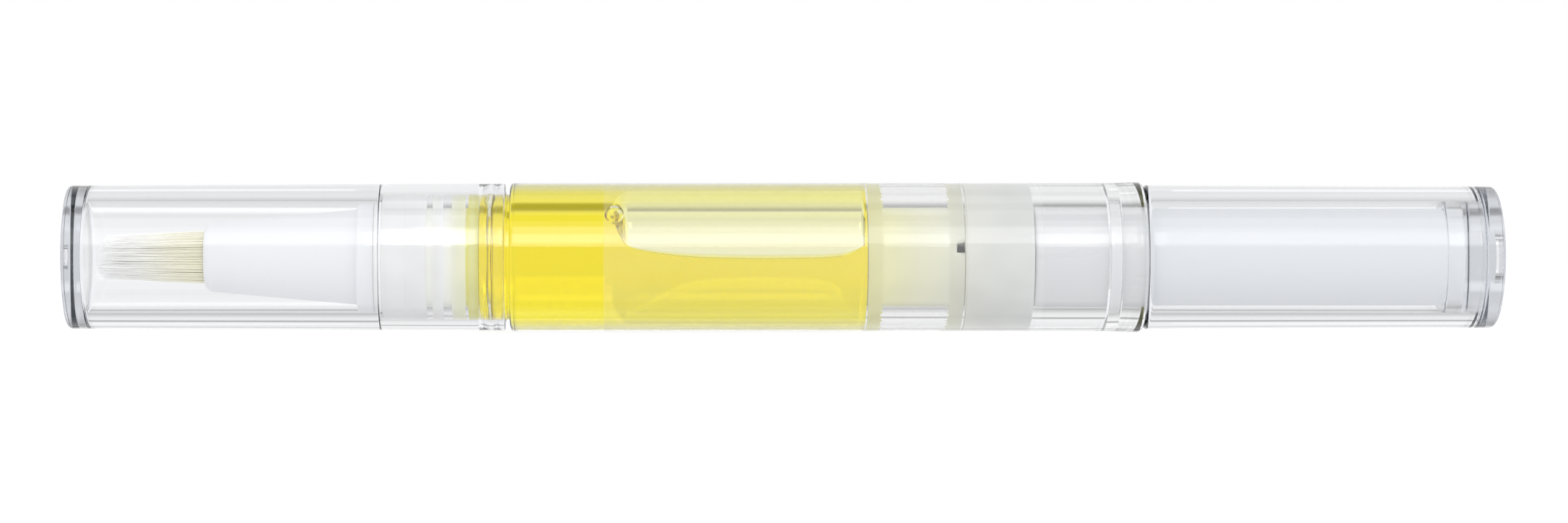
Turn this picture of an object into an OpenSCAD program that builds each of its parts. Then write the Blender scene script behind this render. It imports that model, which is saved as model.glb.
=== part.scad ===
// Nail oil pen with a twist feed: clear cap, brush, oil barrel, piston, screw and ratchet knob.
// Every piece is drawn upright along its own axis, from the closed end of the cap at height 0
// to the end of the knob, and the whole pen is then laid along X.

/* [Barrel] */
// Outer diameter of the barrel
barrel_d = 12.5; // [12.4:0.1:13.5]
// Length of the barrel from its shoulder to its rear end
barrel_len = 53.25; // [50:0.25:60]
// Wall of the barrel round the bore that holds the oil
barrel_wall = 2.05; // [1.8:0.05:2.2]
// Wall of the neck that the cap closes over
neck_wall = 1.1; // [0.9:0.05:1.2]
// Length of the neck
neck_len = 10.75; // [10:0.25:13]
// Width of the snap bead round the neck
bead_w = 0.9; // [0.5:0.1:1.2]
// Distance from the middle of the snap bead to the shoulder
bead_back = 1.75; // [1.5:0.05:2.5]
// Depth of the wider bore at the rear, which holds the nut and the drive sleeve
seat_len = 15; // [14:0.5:17]
// Radial step of that wider bore, which the nut seats on
seat_step = 0.08; // [0.05:0.01:0.15]
// Depth of the snap groove inside the rear of the barrel
groove_depth = 0.49; // [0.3:0.01:0.6]
// Width of the snap groove
groove_w = 1.3; // [1:0.1:1.8]
// Distance from the snap groove to the rear end
groove_back = 1.9; // [1.5:0.1:2.5]
// Rise of the rolled rim at the rear end
rim_rise = 0.08; // [0.02:0.01:0.15]
// Length over which that rim rises
rim_len = 2.6; // [1.5:0.1:4]
// Rounding of the barrel's outer edges
edge_round = 0.3; // [0.1:0.05:0.5]

/* [Cap] */
// How far the cap's mouth lies below the barrel's surface
cap_step = 0.05; // [0.02:0.01:0.1]
// Radial taper from the cap's mouth to its closed end
cap_taper = 0.15; // [0.05:0.05:0.3]
// Thickness of the closed end
cap_floor = 1.5; // [1:0.1:2.5]
// Gap between the cap's mouth and the barrel's shoulder
mouth_gap = 0.4; // [0.2:0.05:0.8]
// Radial gap between the neck and the cap
cap_clear = 0.12; // [0.1:0.01:0.2]
// Gap that is left over the snap bead
bead_gap = 0.06; // [0.04:0.01:0.08]
// Depth of the groove that takes the bead
cap_groove_depth = 0.1; // [0.05:0.01:0.2]
// Radial gap between the collar and the cap
collar_clear = 0.1; // [0.06:0.01:0.2]
// Axial gap between the step in the cap and the neck
step_gap = 0.15; // [0.1:0.05:0.4]
// Rounding of the cap's outer end
cap_round = 0.35; // [0.2:0.05:0.8]
// Diameter of the dimple that the mould's gate leaves in the closed end
cap_gate_d = 1.5; // [0.8:0.1:2.5]
// Depth of that dimple
cap_gate_depth = 0.2; // [0.1:0.05:0.4]
// Room between the brush tip and the inside of the closed end
tip_room = 0.95; // [0.6:0.05:2]

/* [Brush] */
// Diameter of the brush where it leaves the ferrule
brush_d = 4.5; // [4:0.1:4.8]
// Length of brush that stands out of the ferrule
brush_out = 9.1; // [7:0.1:12]
// Length of brush that is held inside the ferrule
brush_root = 2.7; // [2:0.1:4]
// Number of bristle strands
strands = 340; // [300:10:360]
// Diameter of one strand
strand_d = 0.17; // [0.1:0.01:0.17]
// Thickness of the fused root slice
root_slice = 0.8; // [0.5:0.1:1.5]
// How much shorter the outer strands are
tip_round = 1.3; // [0.5:0.1:2]
// How much shorter the upper strands are than the lower ones, each way from the middle
tip_slant = 0.4; // [0:0.1:0.8]

/* [Ferrule] */
// Diameter of the ferrule's front
ferrule_d = 5.76; // [5.6:0.04:6.4]
// Step from the collar down to the cone
cone_step = 0.62; // [0.5:0.01:0.8]
// Length of the cone
cone_len = 12.95; // [10:0.25:16]
// How far the collar lies below the surface of the barrel's neck
collar_inset = 0.65; // [0.5:0.05:0.8]
// Length of the collar
collar_len = 1.45; // [1:0.05:2.5]
// Wall of the plug round the ferrule's spigot
plug_wall = 1.3; // [1:0.05:1.6]
// Length of the spigot
spigot_len = 5.9; // [4:0.1:6.4]
// Rounding of the ferrule's front edge
ferrule_round = 0.8; // [0.3:0.1:0.9]
// Rounding of the collar's front edge
collar_round = 0.6; // [0.2:0.1:0.6]
// Outer diameter of the feed tube
tube_d = 1.1; // [0.8:0.05:1.3]
// Wall of the feed tube
tube_wall = 0.25; // [0.15:0.05:0.3]
// How far the feed tube reaches into the brush
tube_front = 1.2; // [0.5:0.1:3]
// How far the feed tube stands out behind the spigot
tube_back = 1.1; // [0.5:0.1:1.5]

/* [Neck plug] */
// How far the plug's flange lies below the surface of the barrel's neck
flange_inset = 0.7; // [0.6:0.05:0.9]
// Thickness of the flange
flange_t = 0.6; // [0.4:0.05:1]
// Length of the plug inside the neck
plug_len = 8.1; // [7.5:0.1:9]
// Depth of the ring grooves round the plug
rib_depth = 0.35; // [0.2:0.05:0.5]
// Diameter of the hole through the plug's rear
plug_hole_d = 2.8; // [2:0.1:3.4]
// Diameter of the funnel at the plug's rear lip
funnel_d = 5.6; // [4:0.1:6.5]
// Depth of that funnel
funnel_depth = 1.2; // [0.8:0.1:1.5]

/* [Oil] */
// Length of the air pocket in front of the piston
air_len = 22; // [16:0.5:24]
// How far the oil's surface lies below the pen's axis
oil_drop = 0.28; // [0:0.02:1]
// Length over which the surface climbs at the pocket's front end
air_front = 8.8; // [5:0.1:10]
// Length over which the surface climbs at the piston
air_back = 2.2; // [1:0.1:4]
// How high the surface climbs at the piston
air_climb = 1.7; // [0.5:0.1:2.5]

/* [Piston] */
// Length of the piston
piston_len = 8.1; // [7:0.1:9]
// Depth of the piston's waist between its lips
waist_depth = 0.55; // [0.3:0.05:0.8]
// Width of each sealing lip
lip_w = 1.1; // [0.7:0.1:1.6]
// Length of the flank that joins a lip to the waist
lip_flank = 0.7; // [0.4:0.1:1.2]
// Diameter of the hollow in the piston's face
face_d = 5; // [4:0.1:6]
// Depth of that hollow
face_depth = 1.2; // [0.6:0.1:2]
// Rounding of the hollow's bottom
face_round = 1; // [0.5:0.1:1.2]
// Wall between the hollow and the rod's socket
face_wall = 1.6; // [1:0.1:2]
// Width of the two release windows at the piston's rear edge
window_w = 0.8; // [0.5:0.1:1.2]
// Length of those windows
window_len = 0.7; // [0.4:0.1:1]
// Turn of those windows away from the pen's middle plane, in degrees
window_turn = 10; // [0:1:90]
// Depth of the hollow behind the piston
tail_depth = 2.2; // [1.5:0.1:2.6]
// Wall round that hollow
tail_wall = 0.8; // [0.6:0.1:1]
// Gap between the piston at rest and the nut
piston_gap = 0.2; // [0.1:0.05:0.5]

/* [Screw rod] */
// Diameter of the rod, as a share of the oil bore
rod_share = 0.357; // [0.34:0.001:0.37]
// Width across the rod's two flats, as a share of its diameter
rod_flats_share = 0.8; // [0.75:0.01:0.85]
// Diameter of the head that snaps into the piston, as a share of the rod's diameter
head_share = 1.17; // [1.1:0.01:1.25]
// Length of the head
head_len = 1.5; // [1:0.1:2]
// Diameter of the groove behind the head, as a share of the rod's diameter
head_neck_share = 0.7; // [0.6:0.01:0.75]
// Length of that groove
head_neck_len = 1.1; // [0.8:0.1:1.5]
// Gap between the rod's rear end and the inside of the liner
rod_end_gap = 0.8; // [0.4:0.1:2]

/* [Nut and ratchet] */
// Length of the nut
nut_len = 5.6; // [5:0.1:6.5]
// Depth of the ratchet chamber in the nut's rear
ratchet_depth = 2.4; // [2:0.1:2.6]
// Wall round the ratchet teeth, as a share of the room between the rod and the nut's outside
ratchet_wall_share = 0.18; // [0.15:0.01:0.2]
// Number of ratchet teeth, which is the number of clicks in a turn
teeth = 12; // [10:1:18]
// Height of a ratchet tooth, as a share of the same room
tooth_share = 0.16; // [0.12:0.01:0.18]
// Number of spring arms on the click ring
arms = 2; // [2:1:3]
// Thickness of the click ring along the pen
click_t = 1.6; // [1.2:0.1:1.8]
// Wall of the click ring's hub, as a share of the same room
hub_wall_share = 0.18; // [0.15:0.01:0.19]
// Thickness of a spring arm, as a share of the same room
arm_t_share = 0.12; // [0.09:0.01:0.14]
// Gap round the click ring in its chamber
click_gap = 0.2; // [0.1:0.05:0.4]

/* [Drive sleeve] */
// Wall of the key that turns the rod, as a share of the room between the rod and the nut's outside
key_wall_share = 0.23; // [0.19:0.01:0.24]
// Length of the key behind the ratchet chamber
key_len = 3.2; // [2.5:0.1:5]
// Room round the rod behind the key, as a share of the room inside the liner's seat
rod_room_share = 0.22; // [0.1:0.01:0.4]
// Length of the spigot that carries the liner
liner_seat_len = 6; // [4:0.5:8]
// Thickness of the flange inside the knob's mouth
drive_flange_t = 0.28; // [0.2:0.02:0.5]
// Width of the slots that let the snap bead spring
slot_w = 0.6; // [0.4:0.1:1]

/* [Knob] */
// How far the knob's mouth lies below the barrel's surface
knob_step = 0.17; // [0.02:0.01:0.3]
// Radial taper from the knob's mouth to its closed end
knob_taper = 0.105; // [0.05:0.005:0.2]
// Length of the clear shell
knob_len = 27.95; // [27:0.25:32]
// Wall of the clear shell
knob_wall = 1.34; // [1.1:0.02:1.4]
// Gap between the barrel and the knob
knob_gap = 0.15; // [0.1:0.05:0.3]
// Wall of the end plug's skirt, round the liner
skirt_wall = 0.6; // [0.4:0.05:0.7]
// Length of that skirt
skirt_len = 1.5; // [1:0.1:3]
// Thickness of the solid disc behind the skirt
disc_t = 1.5; // [1:0.1:2.5]
// Thickness of the end plug's flange
end_flange_t = 1.6; // [1:0.1:2.5]
// Rounding of the knob's edges
knob_round = 0.35; // [0.15:0.05:0.6]
// Diameter of the dimple in the middle of the end
end_gate_d = 3; // [2:0.1:5]
// Depth of that dimple
end_gate_depth = 0.25; // [0.1:0.05:0.5]
// Wall of the white liner round the drive sleeve's spigot
liner_wall = 0.8; // [0.6:0.05:0.9]
// Step inside the liner, which the drive sleeve's spigot stops at
liner_step = 0.7; // [0.4:0.05:1]
// Thickness of the liner's closed end
liner_end_t = 1; // [0.6:0.1:2]

/* [Fits] */
// Radial gap of a sliding or turning fit
run_fit = 0.05; // [0.03:0.01:0.08]
// Gap between pieces that are pressed or glued together
seat_fit = 0.02; // [0.01:0.01:0.03]

/* [Hidden] */
$fn = 96;

// Overrun that makes a cut pass through what it cuts
cut = 1;
// Straight pieces that stand for one rounded corner
round_steps = 5;

// Share of the rear end that the rolled rim keeps flat
rim_flat_share = 0.4;
// Share of the neck's bead, and of the cap's groove for it, that is flat on top
bead_top_share = 0.45;
// Share of the barrel's snap groove that is flat at its bottom
groove_top_share = 0.8;
// Where the ring grooves start and end, as shares of the plug's length
rib_shares = [[0.25, 0.47, 0.3], [0.47, 0.53, 1], [0.64, 0.73, 1], [0.87, 0.9, 0.7]];
// Diameter of the brush tip as a share of its diameter at the ferrule
brush_tip_share = 0.78;
// Diameter of a strand's tip as a share of its own diameter
strand_tip_share = 0.6;
// Points round a strand
strand_sides = 3;
// Pitch between strands round the sunflower spiral, in degrees
golden_angle = 180 * (3 - sqrt(5));
// Power by which the outer strands grow shorter
tip_power = 3;
// Points along the curve at the front of the air pocket
air_steps = 8;
// Height of the air pocket's blunt nose, as a share of the pocket's full height
air_nose_share = 0.4;
// Power by which the oil's surface levels out behind that nose
air_power = 1.5;
// Angle that a spring arm spans, as a share of its part of the turn
arm_turn_share = 0.62;
// Width of a pawl's nose, as a share of the pitch between teeth
nose_share = 0.3;
// Points along each side of a spring arm
arm_steps = 12;
// Power by which a spring arm leaves the hub, so that most of it is free
arm_power = 0.5;

// Radii of the barrel, its bore, its neck and the wider bore at its rear
barrel_r = barrel_d / 2;
bore_r = barrel_r - barrel_wall;
neck_r = bore_r + neck_wall;
seat_r = bore_r + seat_step;
rim_r = barrel_r + rim_rise;
groove_r = seat_r + groove_depth;
// Radii of the ferrule and the plug, which follow the neck and the bore
collar_r = neck_r - collar_inset;
cone_r = collar_r - cone_step;
flange_r = neck_r - flange_inset;
spigot_r = bore_r - plug_wall;
// Radii of the cap's bore over the neck and over the collar
cap_neck_r = neck_r + cap_clear;
bead_r = cap_neck_r - bead_gap;
cap_bore_r = collar_r + collar_clear;
cap_mouth_r = barrel_r - cap_step;
cap_end_r = cap_mouth_r - cap_taper;
// Radii of the knob's pieces, each inside the next
knob_r = barrel_r - knob_step;
knob_end_r = knob_r - knob_taper;
knob_bore_r = knob_r - knob_wall;
skirt_r = knob_bore_r - seat_fit;
liner_r = skirt_r - skirt_wall - seat_fit;
liner_seat_r = liner_r - liner_wall;
liner_bore_r = liner_seat_r - liner_step;
// Radii of the piston and of the drive sleeve where they run in the barrel
piston_r = bore_r - run_fit;
waist_r = piston_r - waist_depth;
tail_r = waist_r - tail_wall;
sleeve_r = seat_r - run_fit;
// Radii of the rod and the nut, and of what shares the room between them
rod_r = rod_share * bore_r;
rod_flats = 2 * rod_r * rod_flats_share;
head_r = rod_r * head_share;
head_neck_r = rod_r * head_neck_share;
rod_room = rod_room_share * (liner_seat_r - rod_r);
nut_r = seat_r - seat_fit;
ratchet_room = nut_r - rod_r;
key_wall = key_wall_share * ratchet_room;
arm_t = arm_t_share * ratchet_room;
key_r = rod_r + run_fit + key_wall;
hub_r = key_r + seat_fit + hub_wall_share * ratchet_room;
tooth_root_r = nut_r - ratchet_wall_share * ratchet_room;
tooth_tip_r = tooth_root_r - tooth_share * ratchet_room;
tooth_pitch = 360 / teeth;
key_flats = rod_flats + 2 * run_fit;
hub_flats = key_flats + 2 * key_wall;

// Stations along the pen, from the closed end of the cap
tip_at = cap_floor + tip_room;
ferrule_at = tip_at + brush_out;
collar_at = ferrule_at + cone_len;
flange_at = collar_at + collar_len;
neck_at = flange_at + flange_t + seat_fit;
spigot_end_at = flange_at + spigot_len;
tube_end_at = spigot_end_at + tube_back;
shoulder_at = neck_at + neck_len;
cap_mouth_at = shoulder_at - mouth_gap;
cap_step_at = neck_at - step_gap;
bead_at = shoulder_at - bead_back;
plug_end_at = neck_at + plug_len;
root_at = ferrule_at + brush_root;
tube_at = ferrule_at - tube_front;
rear_at = shoulder_at + barrel_len;
groove_end_at = rear_at - groove_back;
seat_at = rear_at - seat_len;
piston_end_at = seat_at - piston_gap;
piston_at = piston_end_at - piston_len;
air_at = piston_at - air_len;
head_at = piston_at + face_depth + face_wall + run_fit;
shank_at = head_at + head_len + head_neck_len;
nut_at = seat_at + seat_fit;
nut_end_at = nut_at + nut_len;
chamber_at = nut_end_at - ratchet_depth;
drive_at = nut_end_at + run_fit;
key_end_at = drive_at + key_len;
knob_at = rear_at + knob_gap;
liner_at = knob_at + drive_flange_t + seat_fit;
knob_end_at = knob_at + knob_len;
disc_at = knob_end_at - disc_t;
liner_end_at = disc_at - seat_fit;
rod_end_at = liner_end_at - liner_end_t - rod_end_gap;
pen_len = knob_end_at + seat_fit + end_flange_t;

// Direction from one point of an outline to another
function toward(a, b) = let (d = [b[0] - a[0], b[1] - a[1]]) d / norm(d);
// Rounded corner at b between a and c. The third entry of b is the radius, which the edges limit.
function corner(a, b, c) =
    let (
        u = toward(b, a),
        v = toward(b, c),
        half = acos(u * v) / 2,
        room = min(norm([a[0] - b[0], a[1] - b[1]]), norm([c[0] - b[0], c[1] - b[1]])) / 2,
        reach = min(b[2] / tan(half), room),
        radius = reach * tan(half),
        middle = [b[0], b[1]] + (u + v) / norm(u + v) * radius / sin(half),
        from = [b[0], b[1]] + u * reach - middle,
        to = [b[0], b[1]] + v * reach - middle,
        start = atan2(from[1], from[0]),
        turn = atan2(from[0] * to[1] - from[1] * to[0], from * to)
    )
    [for (i = [0 : round_steps])
        middle + radius * [cos(start + turn * i / round_steps), sin(start + turn * i / round_steps)]];
// Outline with rounded corners. Each point is [radius, height], with a rounding as a third entry.
function rounded(pts) = [
    for (i = [0 : len(pts) - 1])
        each (len(pts[i]) == 2 ? [pts[i]] :
            corner(pts[(i + len(pts) - 1) % len(pts)], pts[i], pts[(i + 1) % len(pts)]))
];
// Point on a circle
function polar(r, a) = [r * cos(a), r * sin(a)];
// Snap ring on a wall of radius r: its outline points, from height a to height b
function snap(r, rise, a, b, top_share) =
    let (flank = (b - a) * (1 - top_share) / 2)
    [[r, a], [r + rise, a + flank], [r + rise, b - flank], [r, b]];
function reversed(pts) = [for (i = [len(pts) - 1 : -1 : 0]) pts[i]];

module lay() translate([-pen_len / 2, 0, rim_r]) rotate([0, 90, 0]) children();
module turned(pts) rotate_extrude() polygon(rounded(pts));
module rise(at) translate([0, 0, at]) children();
// Round bar with two flats, which stand across the given axis
module flatted(r, flats, h) intersection() {
    cylinder(r = r, h = h);
    translate([-r, -flats / 2, 0]) cube([2 * r, flats, h]);
}

// Cap
module cap() color([0.93, 0.95, 0.97, 0.35]) lay() difference() {
    turned(concat(
        [[0, 0], [cap_end_r, 0, cap_round], [cap_mouth_r, cap_mouth_at, cap_round / 2]],
        [[cap_neck_r, cap_mouth_at, cap_round / 2]],
        reversed(snap(cap_neck_r, cap_groove_depth, bead_at - bead_w, bead_at + bead_w, bead_top_share)),
        [[cap_neck_r, cap_step_at], [cap_bore_r, cap_step_at, cap_round / 2]],
        [[cap_bore_r, cap_floor, cap_round], [0, cap_floor]]));
    rise(-cut) cylinder(d = cap_gate_d, h = cap_gate_depth + cut);
}

// Brush
// Radius of the ring that strand i roots on, between the feed tube and the rim of the brush
function strand_ring(i) =
    let (
        inner = tube_d / 2 + strand_d,
        outer = (brush_d - strand_d) / 2
    )
    sqrt(inner * inner + (outer * outer - inner * inner) * (i + 0.5) / strands);
// Length of strand i outside the ferrule: the rim and the upper side are shorter
function strand_out(i) =
    let (p = polar(strand_ring(i), i * golden_angle) / (brush_d / 2))
    brush_out - tip_round * pow(norm(p), tip_power) + tip_slant * (p[0] - brush_tip_share / 2);
// Middle of strand i at a distance out of the ferrule. All strands close up by one share, so none cross.
function strand_at(i, out) =
    let (close = 1 - (1 - brush_tip_share) * max(out, 0) / brush_out)
    concat(polar(strand_ring(i) * close, i * golden_angle), ferrule_at - out);
// Three points round strand i at each of its three levels
function strand_points(i) = [
    for (level = [[-brush_root + root_slice / 2, 1], [0, 1], [strand_out(i), strand_tip_share]])
        for (k = [0 : strand_sides - 1])
            strand_at(i, level[0])
                + concat(polar(strand_d / 2 * level[1], i * golden_angle + k * 360 / strand_sides), 0)
];
// Faces of a strand whose points start at first: its root, its tip and its sides
function strand_faces(first) = concat(
    [[for (k = [strand_sides - 1 : -1 : 0]) first + k]],
    [[for (k = [0 : strand_sides - 1]) first + 2 * strand_sides + k]],
    [for (level = [0, 1]) for (k = [0 : strand_sides - 1])
        let (
            a = first + level * strand_sides + k,
            b = first + level * strand_sides + (k + 1) % strand_sides
        )
        each [[a, b, a + strand_sides], [b, b + strand_sides, a + strand_sides]]]);
module bristles() color("ivory") lay() {
    polyhedron(
        points = [for (i = [0 : strands - 1]) each strand_points(i)],
        faces = [for (i = [0 : strands - 1]) each strand_faces(3 * strand_sides * i)]);
    rise(root_at - root_slice) difference() {
        cylinder(d = brush_d, h = root_slice);
        rise(-cut) cylinder(d = tube_d + 2 * seat_fit, h = root_slice + 2 * cut);
    }
}

// Ferrule
module brush_ferrule() color("white") lay() difference() {
    turned([
        [0, ferrule_at], [ferrule_d / 2, ferrule_at, ferrule_round],
        [cone_r, collar_at], [collar_r, collar_at, collar_round],
        [collar_r, flange_at], [spigot_r, flange_at],
        [spigot_r, spigot_end_at, tube_wall], [0, spigot_end_at]]);
    rise(ferrule_at - cut) cylinder(r = brush_d / 2 + seat_fit, h = brush_root + seat_fit + cut);
    rise(ferrule_at) cylinder(r = tube_d / 2 + seat_fit, h = spigot_end_at - ferrule_at + cut);
}

module feed_tube() color("whitesmoke") lay() difference() {
    rise(tube_at) cylinder(d = tube_d, h = tube_end_at - tube_at);
    rise(tube_at - cut) cylinder(r = tube_d / 2 - tube_wall, h = tube_end_at - tube_at + 2 * cut);
}

// Plug in the neck
module neck_plug() color([0.92, 0.93, 0.92, 0.8]) lay() difference() {
    turned(concat(
        [[0, flange_at + seat_fit], [flange_r, flange_at + seat_fit], [flange_r, neck_at - seat_fit]],
        [[bore_r - seat_fit, neck_at - seat_fit]],
        [for (rib = rib_shares) each [
            [bore_r - seat_fit, neck_at + plug_len * rib[0]],
            [bore_r - seat_fit - rib_depth * rib[2], neck_at + plug_len * rib[0]],
            [bore_r - seat_fit - rib_depth * rib[2], neck_at + plug_len * rib[1]],
            [bore_r - seat_fit, neck_at + plug_len * rib[1]]]],
        [[bore_r - seat_fit, plug_end_at], [0, plug_end_at]]));
    rise(flange_at - cut) cylinder(r = spigot_r + seat_fit, h = spigot_len + seat_fit + cut);
    rise(flange_at) cylinder(d = plug_hole_d, h = plug_end_at - flange_at);
    turned(funnel(0, plug_end_at + cut));
}
// Outline of the funnel in the plug's rear, drawn in by a gap and carried on to a height
function funnel(gap, top) = [
    [0, plug_end_at - funnel_depth], [plug_hole_d / 2 - gap, plug_end_at - funnel_depth],
    [funnel_d / 2 - gap, plug_end_at], [funnel_d / 2 - gap, top], [0, top]];

// Barrel
module barrel() color([0.93, 0.95, 0.97, 0.35]) lay() turned(concat(
    [[bore_r, neck_at], [neck_r, neck_at, edge_round]],
    snap(neck_r, bead_r - neck_r, bead_at - bead_w / 2, bead_at + bead_w / 2, bead_top_share),
    [[neck_r, shoulder_at], [barrel_r, shoulder_at, edge_round]],
    [[barrel_r, rear_at - rim_len], [rim_r, rear_at - rim_len * rim_flat_share]],
    [[rim_r, rear_at, edge_round], [seat_r, rear_at]],
    reversed(snap(seat_r, groove_depth, groove_end_at - groove_w, groove_end_at, groove_top_share)),
    [[seat_r, seat_at], [bore_r, seat_at]]));

// Oil, with the air pocket that lies over it
module nail_oil() color([0.95, 0.87, 0.15, 0.8]) difference() {
    lay() {
        rise(plug_end_at + seat_fit)
            cylinder(r = bore_r - seat_fit, h = piston_at - plug_end_at - 2 * seat_fit);
        turned(funnel(seat_fit, plug_end_at + funnel_depth));
        rise(tube_end_at + seat_fit)
            cylinder(r = plug_hole_d / 2 - seat_fit, h = plug_end_at - tube_end_at);
    }
    air_pocket();
}
// Side view of the air pocket, as heights over the pen's axis
module air_pocket()
    translate([-pen_len / 2, 0, rim_r]) rotate([90, 0, 0])
        linear_extrude(height = barrel_d, center = true) polygon(concat(
            [[piston_at + cut, bore_r + cut], [air_at, bore_r + cut]],
            [for (i = [0 : air_steps]) [air_at + air_front * i / air_steps,
                (bore_r + oil_drop) * air_nose_share * pow(1 - i / air_steps, air_power) - oil_drop]],
            [for (i = [0 : air_steps]) [piston_at - air_back * (1 - i / air_steps),
                air_climb * pow(i / air_steps, 2) - oil_drop]],
            [[piston_at + cut, air_climb - oil_drop]]));

// Piston
module piston() color([0.94, 0.94, 0.92, 0.85]) lay() difference() {
    turned([
        [0, piston_at + face_depth], [face_d / 2 - face_round, piston_at + face_depth, face_round],
        [face_d / 2, piston_at, edge_round],
        [piston_r, piston_at, edge_round / 2], [piston_r, piston_at + lip_w],
        [waist_r, piston_at + lip_w + lip_flank], [waist_r, piston_end_at - lip_w - lip_flank],
        [piston_r, piston_end_at - lip_w], [piston_r, piston_end_at, edge_round / 2],
        [tail_r, piston_end_at], [tail_r, piston_end_at - tail_depth],
        [rod_r + run_fit, piston_end_at - tail_depth], [rod_r + run_fit, shank_at - run_fit],
        [head_neck_r + run_fit, shank_at - run_fit],
        [head_neck_r + run_fit, head_at + head_len + run_fit],
        [head_r + run_fit, head_at + head_len + run_fit], [head_r + run_fit, head_at - run_fit],
        [0, head_at - run_fit]]);
    rotate(-window_turn) translate([-window_w / 2, -piston_r - cut, piston_end_at - window_len])
        cube([window_w, 2 * (piston_r + cut), window_len + cut]);
}

// Screw rod
module screw_rod() color("gainsboro") lay() {
    turned([
        [0, head_at], [head_r, head_at, edge_round], [head_r, head_at + head_len],
        [head_neck_r, head_at + head_len], [head_neck_r, shank_at + head_neck_len],
        [0, shank_at + head_neck_len]]);
    rise(shank_at) flatted(rod_r, rod_flats, rod_end_at - shank_at);
}

// Nut, with the ratchet teeth in its rear
module screw_nut() color([0.93, 0.94, 0.94, 0.85]) lay() difference() {
    turned([[0, nut_at], [nut_r, nut_at, edge_round], [nut_r, nut_end_at], [0, nut_end_at]]);
    rise(nut_at - cut) cylinder(r = rod_r + run_fit, h = nut_len + 2 * cut);
    rise(chamber_at) linear_extrude(height = ratchet_depth + cut) polygon([
        for (i = [0 : teeth - 1])
            each [polar(tooth_root_r, i * tooth_pitch), polar(tooth_tip_r, i * tooth_pitch)]]);
}

// Click ring, whose arms spring over the ratchet teeth
pawl_gap = asin(run_fit / tooth_root_r);
arm_span = arm_turn_share * 360 / arms;
function arm_r(t) = hub_r + (tooth_tip_r - run_fit - hub_r) * pow(t, arm_power);
module spring_arm(tooth_at) {
    nose_at = tooth_at - pawl_gap;
    polygon(concat(
        [for (i = [0 : arm_steps]) polar(arm_r(i / arm_steps), nose_at - arm_span * (1 - i / arm_steps))],
        [for (i = [arm_steps : -1 : 0])
            polar(arm_r(i / arm_steps) - arm_t, nose_at - arm_span * (1 - i / arm_steps))]));
    polygon([
        polar(tooth_root_r - run_fit, nose_at), polar(tooth_tip_r - arm_t, nose_at),
        polar(tooth_tip_r - arm_t, nose_at - tooth_pitch * nose_share),
        polar(tooth_tip_r - run_fit, nose_at - tooth_pitch * nose_share)]);
}
module click_ring() color([0.9, 0.91, 0.92]) lay()
    rise(chamber_at + click_gap) difference() {
        linear_extrude(height = click_t) {
            circle(r = hub_r);
            for (i = [0 : arms - 1]) spring_arm(round(i * teeth / arms) * tooth_pitch);
        }
        rise(-cut) flatted(key_r + seat_fit, hub_flats + 2 * seat_fit, click_t + 2 * cut);
    }

// Drive sleeve, which turns the rod and snaps into the barrel
module drive_sleeve() color([0.95, 0.96, 0.97]) lay() difference() {
    union() {
        rise(chamber_at + click_gap) flatted(key_r, hub_flats, drive_at - chamber_at);
        turned(concat(
            [[0, drive_at], [sleeve_r, drive_at, edge_round]],
            snap(sleeve_r, groove_r - sleeve_r - run_fit, groove_end_at - groove_w + 2 * run_fit,
                groove_end_at - 2 * run_fit, groove_top_share),
            [[sleeve_r, knob_at], [skirt_r, knob_at], [skirt_r, knob_at + drive_flange_t]],
            [[liner_seat_r - seat_fit, knob_at + drive_flange_t]],
            [[liner_seat_r - seat_fit, liner_at + liner_seat_len, edge_round]],
            [[0, liner_at + liner_seat_len]]));
    }
    rise(chamber_at) flatted(rod_r + run_fit, key_flats, key_end_at - chamber_at + cut);
    rise(key_end_at) cylinder(r = rod_r + rod_room, h = liner_at + liner_seat_len - key_end_at + cut);
    translate([-groove_r, -slot_w / 2, key_end_at + key_wall])
        cube([2 * groove_r, slot_w, rear_at - key_end_at - 2 * key_wall]);
}

// White liner that shows through the knob
module knob_liner() color("white") lay() turned([
    [liner_seat_r, liner_at], [liner_r, liner_at, edge_round], [liner_r, liner_end_at, edge_round],
    [0, liner_end_at], [0, liner_end_at - liner_end_t], [liner_bore_r, liner_end_at - liner_end_t],
    [liner_bore_r, liner_at + liner_seat_len + seat_fit],
    [liner_seat_r, liner_at + liner_seat_len + seat_fit]]);

// Clear shell of the knob
module knob_shell() color([0.93, 0.95, 0.97, 0.35]) lay() turned([
    [knob_bore_r, knob_at], [knob_r, knob_at, knob_round],
    [knob_end_r, knob_end_at, knob_round / 2], [knob_bore_r, knob_end_at]]);

// Clear plug that closes the knob
module knob_end_plug() color([0.93, 0.95, 0.97, 0.35]) lay() difference() {
    turned([
        [0, disc_at], [liner_r + seat_fit, disc_at], [liner_r + seat_fit, disc_at - skirt_len],
        [skirt_r, disc_at - skirt_len, edge_round / 2], [skirt_r, knob_end_at + seat_fit],
        [knob_end_r, knob_end_at + seat_fit, knob_round / 2], [knob_end_r, pen_len, knob_round],
        [0, pen_len]]);
    rise(pen_len - end_gate_depth) cylinder(d = end_gate_d, h = end_gate_depth + cut);
}

cap();
bristles();
brush_ferrule();
feed_tube();
neck_plug();
barrel();
nail_oil();
piston();
screw_rod();
screw_nut();
click_ring();
drive_sleeve();
knob_liner();
knob_shell();
knob_end_plug();
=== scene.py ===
# %% [markdown]
# # Nail oil pen
#
# The pen lies on a pale table with its cap on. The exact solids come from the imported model, and
# this notebook gives them their looks. The clear pieces and the oil are turned again with many
# more steps than the solids have, because light that bends through a curved wall shows every
# flat on it. The white and milky pieces stay as they were packed and only get their material.

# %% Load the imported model
import math
import random

import bmesh
import bpy
from mathutils import Matrix, Vector


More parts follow.
